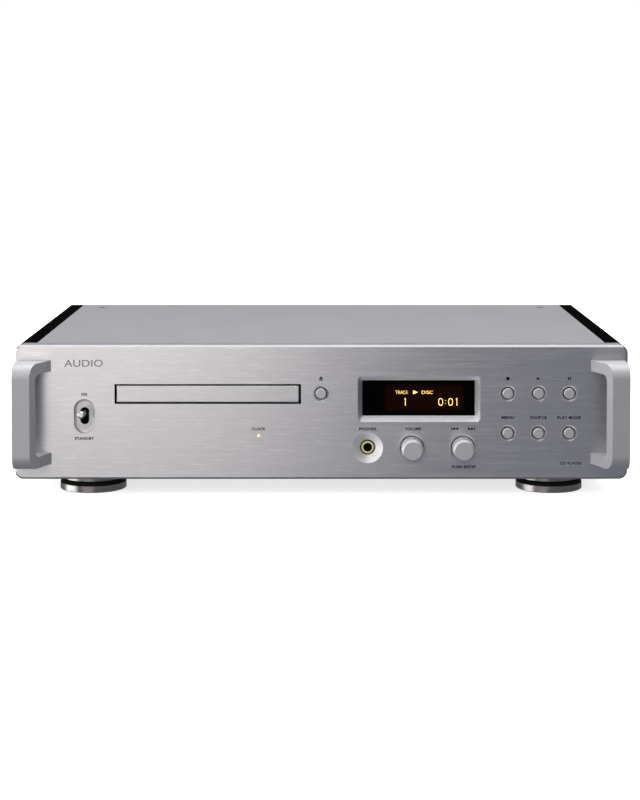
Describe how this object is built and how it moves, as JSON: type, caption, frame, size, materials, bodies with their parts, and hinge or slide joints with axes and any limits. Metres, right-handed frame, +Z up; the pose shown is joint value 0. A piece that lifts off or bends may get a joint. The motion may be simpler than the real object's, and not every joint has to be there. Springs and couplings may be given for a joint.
{
  "type": "cd player",
  "caption": "Full-width hi-fi CD player: brushed metal front with handles, disc tray, display, knobs, push buttons and a bat switch, on turned feet.",
  "frame": {"origin": "middle of the object's box, on the surface that the feet stand on", "axes": "+X to the right seen from the front, -Y out of the front panel, +Z up"},
  "size_m": [0.444, 0.334, 0.111],
  "materials": {
    "panel_aluminium": "horizontally brushed, clear anodised",
    "handle_aluminium": "satin, clear anodised",
    "cover_aluminium": "fine satin, clear anodised",
    "side_black": "satin black anodised",
    "chassis_steel": "black coated sheet steel",
    "inner_steel": "plated sheet steel",
    "foot_metal": "turned, dark nickel",
    "foot_rubber": "black damping rubber",
    "screw_steel": "dark plated",
    "window_black": "polished, near black",
    "display_glass": "vacuum display tube",
    "button_aluminium": "turned, satin",
    "black_plastic": "moulded black",
    "toggle_chrome": "polished",
    "knob_aluminium": "turned, satin",
    "gold_plate": "gold plated",
    "lamp_lens": "diffusing lens",
    "tray_plastic": "moulded black, fine texture",
    "frame_plastic": "moulded dark grey",
    "gear_plastic": "natural acetal",
    "belt_rubber": "black drive belt",
    "motor_steel": "plated can",
    "board_green": "green solder mask",
    "transformer_core": "wound and taped"
  },
  "bodies": {
    "case": {"front_panel": "panel_aluminium", "handle_left": "handle_aluminium", "handle_right": "handle_aluminium", "handle_screws": "screw_steel", "top_cover": "cover_aluminium", "cover_screws": "screw_steel", "side_panel_left": "side_black", "side_panel_right": "side_black", "bottom_plate": "chassis_steel", "rear_panel": "chassis_steel", "sub_panel": "inner_steel", "foot_cups": "foot_metal", "foot_rings": "foot_rubber", "foot_discs": "foot_metal", "mains_inlet": "black_plastic", "rear_sockets": "gold_plate", "button_bushings": "black_plastic", "volume_encoder": "black_plastic", "skip_encoder": "black_plastic", "jack_body": "black_plastic", "jack_sleeve": "gold_plate", "toggle_bracket": "black_plastic", "display_window": "window_black", "display_module": "display_glass", "clock_led": "lamp_lens", "control_boards": "board_green", "drive_frame": "frame_plastic", "drive_posts": "inner_steel", "loading_motor": "motor_steel", "drive_belt": "belt_rubber", "clamp_bridge": "inner_steel", "transformer": "transformer_core", "power_board": "board_green", "audio_board": "board_green"},
    "tray": {"tray_door": "panel_aluminium", "disc_tray": "tray_plastic"},
    "drive_gear": {"drive_gear": "gear_plastic"},
    "pulley_gear": {"pulley_gear": "gear_plastic"},
    "motor_pulley": {"motor_pulley": "gear_plastic"},
    "disc_clamp": {"disc_clamp": "black_plastic"},
    "traverse": {"traverse_frame": "inner_steel", "guide_rods": "motor_steel", "spindle_motor": "motor_steel", "sled_motor": "motor_steel"},
    "turntable": {"turntable": "black_plastic"},
    "pickup": {"pickup": "black_plastic"},
    "sled_gear": {"sled_gear": "gear_plastic"},
    "toggle_lever": {"toggle_lever": "toggle_chrome"},
    "volume": {"volume_knob": "knob_aluminium", "volume_shaft": "inner_steel"},
    "skip_rotor": {"skip_rotor": "gear_plastic"},
    "skip": {"skip_knob": "knob_aluminium", "skip_shaft": "inner_steel"},
    "button_eject": {"button_eject": "button_aluminium"},
    "button_stop": {"button_stop": "button_aluminium"},
    "button_play": {"button_play": "button_aluminium"},
    "button_pause": {"button_pause": "button_aluminium"},
    "button_menu": {"button_menu": "button_aluminium"},
    "button_source": {"button_source": "button_aluminium"},
    "button_play_mode": {"button_play_mode": "button_aluminium"}
  },
  "joints": [
    {"name": "tray_slide", "type": "slide", "parent": "case", "child": "tray", "axis": [0, -1, 0], "range_m": [0, 0.14]},
    {"name": "drive_gear_spin", "type": "hinge", "parent": "case", "child": "drive_gear", "pos_m": [-0.04115, -0.101, 0.0682], "axis": [0, 0, 1], "range_deg": [-716, 0]},
    {"name": "pulley_gear_spin", "type": "hinge", "parent": "case", "child": "pulley_gear", "pos_m": [-0.06365, -0.101, 0.066], "axis": [0, 0, 1], "range_deg": [0, 716]},
    {"name": "motor_pulley_spin", "type": "hinge", "parent": "case", "child": "motor_pulley", "pos_m": [-0.1069, -0.101, 0.062], "axis": [0, 0, 1], "range_deg": [0, 2364]},
    {"name": "traverse_tilt", "type": "hinge", "parent": "case", "child": "traverse", "pos_m": [-0.0819, 0.028, 0.0634], "axis": [1, 0, 0], "range_deg": [0, 5]},
    {"name": "turntable_spin", "type": "hinge", "parent": "traverse", "child": "turntable", "pos_m": [-0.0819, -0.062, 0.076], "axis": [0, 0, 1], "continuous": true},
    {"name": "clamp_spin", "type": "hinge", "parent": "case", "child": "disc_clamp", "pos_m": [-0.0819, -0.062, 0.083], "axis": [0, 0, 1], "continuous": true},
    {"name": "pickup_slide", "type": "slide", "parent": "traverse", "child": "pickup", "axis": [0, 1, 0], "range_m": [0, 0.035]},
    {"name": "sled_gear_spin", "type": "hinge", "parent": "traverse", "child": "sled_gear", "pos_m": [-0.0379, -0.009, 0.064], "axis": [0, 0, 1], "range_deg": [-252, 0]},
    {"name": "toggle_tilt", "type": "hinge", "parent": "case", "child": "toggle_lever", "pos_m": [-0.1713, -0.1042, 0.0593], "axis": [1, 0, 0], "range_deg": [0, 8.4]},
    {"name": "eject_press", "type": "slide", "parent": "case", "child": "button_eject", "axis": [0, 1, 0], "range_m": [0, 0.0008], "stiffness_N_per_m": 1000, "springref_m": -0.0006},
    {"name": "stop_press", "type": "slide", "parent": "case", "child": "button_stop", "axis": [0, 1, 0], "range_m": [0, 0.0008], "stiffness_N_per_m": 1000, "springref_m": -0.0006},
    {"name": "play_press", "type": "slide", "parent": "case", "child": "button_play", "axis": [0, 1, 0], "range_m": [0, 0.0008], "stiffness_N_per_m": 1000, "springref_m": -0.0006},
    {"name": "pause_press", "type": "slide", "parent": "case", "child": "button_pause", "axis": [0, 1, 0], "range_m": [0, 0.0008], "stiffness_N_per_m": 1000, "springref_m": -0.0006},
    {"name": "menu_press", "type": "slide", "parent": "case", "child": "button_menu", "axis": [0, 1, 0], "range_m": [0, 0.0008], "stiffness_N_per_m": 1000, "springref_m": -0.0006},
    {"name": "source_press", "type": "slide", "parent": "case", "child": "button_source", "axis": [0, 1, 0], "range_m": [0, 0.0008], "stiffness_N_per_m": 1000, "springref_m": -0.0006},
    {"name": "play_mode_press", "type": "slide", "parent": "case", "child": "button_play_mode", "axis": [0, 1, 0], "range_m": [0, 0.0008], "stiffness_N_per_m": 1000, "springref_m": -0.0006},
    {"name": "volume_turn", "type": "hinge", "parent": "case", "child": "volume", "pos_m": [0.0659, -0.14, 0.0363], "axis": [0, 1, 0], "continuous": true},
    {"name": "skip_turn", "type": "hinge", "parent": "case", "child": "skip_rotor", "pos_m": [0.1028, -0.1165, 0.0363], "axis": [0, 1, 0], "continuous": true},
    {"name": "skip_push", "type": "slide", "parent": "skip_rotor", "child": "skip", "axis": [0, 1, 0], "range_m": [0, 0.0008], "stiffness_N_per_m": 1500, "springref_m": -0.0006}
  ],
  "couplings": [
    {"joint": "drive_gear_spin", "follows": "tray_slide", "rad_per_m": -88.889},
    {"joint": "pulley_gear_spin", "follows": "tray_slide", "rad_per_m": 88.889},
    {"joint": "motor_pulley_spin", "follows": "tray_slide", "rad_per_m": 294.2},
    {"joint": "clamp_spin", "follows": "turntable_spin", "ratio": 1},
    {"joint": "sled_gear_spin", "follows": "pickup_slide", "rad_per_m": -125}
  ]
}
